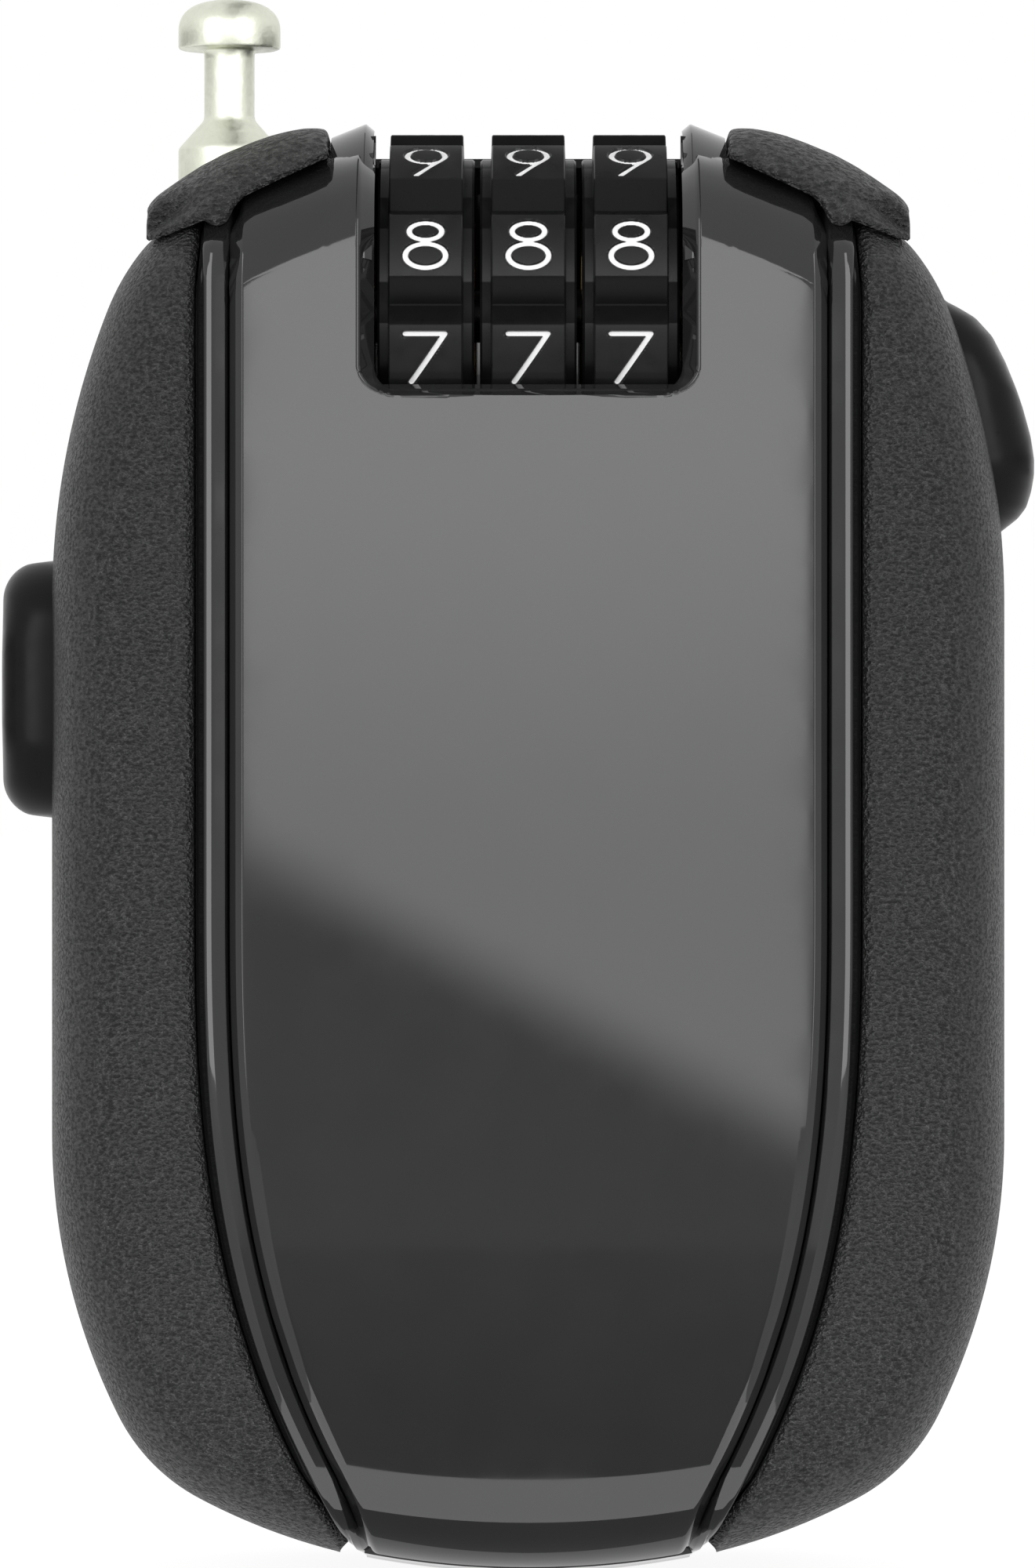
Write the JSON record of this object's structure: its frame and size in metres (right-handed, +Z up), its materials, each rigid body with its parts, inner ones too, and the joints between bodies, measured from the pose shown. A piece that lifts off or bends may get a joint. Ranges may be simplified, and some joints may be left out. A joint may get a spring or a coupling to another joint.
{
  "type": "pocket cable lock",
  "caption": "Pocket cable lock: rounded upright case with number dials in its top, a locking pin on a thin steel cable from a spring reel, and side buttons to release and retract.",
  "frame": {"origin": "on the plane under the foot of the case, under the middle of the whole part's box", "axes": "+Z up along the case towards the dials and the locking pin, -Y out of the front face with the dial window, +X to the right as seen from the front"},
  "size_m": [0.0546, 0.0235, 0.0826],
  "materials": {
    "gloss_black": "polished moulded plastic",
    "grain_black": "fine moulded leather grain",
    "satin_black": "smooth satin",
    "nickel": "satin nickel plate",
    "steel": "bright drawn steel",
    "brass": "turned brass",
    "nylon": "natural nylon"
  },
  "bodies": {
    "case": {"front_housing": "gloss_black", "rear_housing": "gloss_black", "front_panel": "gloss_black", "left_cheek": "grain_black", "right_cheek": "grain_black", "left_shoulder_cap": "grain_black", "right_shoulder_cap": "grain_black", "case_screws": "steel", "spindle_bushes": "brass", "detent_spring": "steel", "release_spring": "steel", "retract_spring": "steel", "brake_pivot": "steel", "chamber_plate": "steel", "exit_sleeve": "steel", "socket_sleeve": "steel", "reel_post": "steel", "power_spring": "steel"},
    "dial_left": {"dial_1": "satin_black", "code_sleeve_1": "brass"},
    "dial_middle": {"dial_2": "satin_black", "code_sleeve_2": "brass"},
    "dial_right": {"dial_3": "satin_black", "code_sleeve_3": "brass"},
    "release": {"release_button": "satin_black", "latch_slider": "steel", "locking_spindle": "steel"},
    "retract": {"retract_button": "satin_black"},
    "brake": {"brake_lever": "steel"},
    "cable_end": {"locking_pin": "nickel", "cable_lead": "steel"},
    "reel": {"reel_drum": "nylon", "reel_cover": "nylon", "cable_winding": "steel"}
  },
  "joints": [
    {"name": "dial_1_spin", "type": "hinge", "parent": "case", "child": "dial_left", "pos_m": [-0.0053, -0.002, 0.066], "axis": [1, 0, 0], "continuous": true},
    {"name": "dial_2_spin", "type": "hinge", "parent": "case", "child": "dial_middle", "pos_m": [0, -0.002, 0.066], "axis": [1, 0, 0], "continuous": true},
    {"name": "dial_3_spin", "type": "hinge", "parent": "case", "child": "dial_right", "pos_m": [0.0053, -0.002, 0.066], "axis": [1, 0, 0], "continuous": true},
    {"name": "release_press", "type": "slide", "parent": "case", "child": "release", "axis": [-1, 0, 0], "range_m": [0, 0.002], "stiffness_N_per_m": 400, "springref_m": -0.002},
    {"name": "retract_press", "type": "slide", "parent": "case", "child": "retract", "axis": [1, 0, 0], "range_m": [0, 0.0015], "stiffness_N_per_m": 400, "springref_m": -0.002},
    {"name": "brake_release", "type": "hinge", "parent": "case", "child": "brake", "pos_m": [-0.0189, -0.0077, 0.044], "axis": [0, 1, 0], "range_deg": [0, 12]},
    {"name": "cable_pull", "type": "slide", "parent": "case", "child": "cable_end", "axis": [0, 0, 1], "range_m": [0, 0.8], "deforming": ["cable_lead"]},
    {"name": "reel_spin", "type": "hinge", "parent": "case", "child": "reel", "pos_m": [0, 0, 0.028], "axis": [0, 1, 0], "range_deg": [0, 2950]}
  ],
  "couplings": [
    {"joint": "brake_release", "follows": "retract_press", "rad_per_m": 133.33},
    {"joint": "reel_spin", "follows": "cable_pull", "rad_per_m": 63.694}
  ]
}
